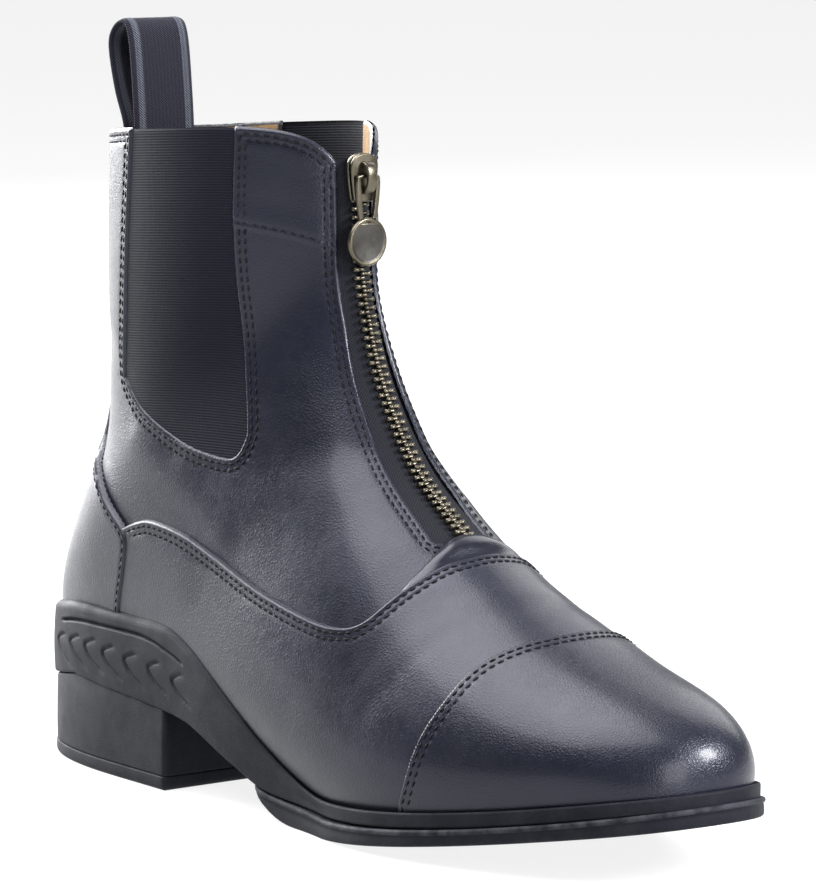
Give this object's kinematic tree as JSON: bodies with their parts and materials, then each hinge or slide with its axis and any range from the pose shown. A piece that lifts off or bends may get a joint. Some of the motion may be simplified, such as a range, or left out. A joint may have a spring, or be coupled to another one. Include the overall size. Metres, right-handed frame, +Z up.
{
  "type": "paddock boot",
  "caption": "Dark leather ankle riding boot for the right foot, with a front zip, elastic side gores, a pull loop and a heeled rubber sole.",
  "frame": {"origin": "on the floor under the middle of the boot's box", "axes": "+Z up, +Y towards the heel, -Y towards the toe, -X towards the boot's outer side"},
  "size_m": [0.0906, 0.2692, 0.2149],
  "materials": {
    "leather": "smooth, semi-gloss, fine grain",
    "tab_leather": "soft, padded, glossy",
    "elastic": "ribbed elastic, matte",
    "tape": "woven zip tape, matte",
    "webbing": "twill webbing, matte",
    "brass": "antique brass, brushed",
    "steel": "polished",
    "rubber": "moulded, matte",
    "lining": "tan lining, matte"
  },
  "bodies": {
    "boot": {"upper": "leather", "vamp_overlay": "leather", "toe_cap": "leather", "counter": "leather", "zip_foot_tab": "tab_leather", "gore_outer": "elastic", "gore_inner": "elastic", "zip_tape": "tape", "zip_chain": "brass", "zip_slider": "brass", "pull_loop": "webbing", "back_badge": "steel", "insole": "lining", "sole_unit": "rubber", "outsole": "rubber", "heel_block": "rubber", "heel_top_lift": "rubber"},
    "pull_tab": {"zip_pull": "brass"}
  },
  "joints": [
    {"name": "zip_pull_swing", "type": "hinge", "parent": "boot", "child": "pull_tab", "pos_m": [-0.00142, 0.00658, 0.1759], "axis": [-1, 0, 0], "range_deg": [0, 150]}
  ]
}
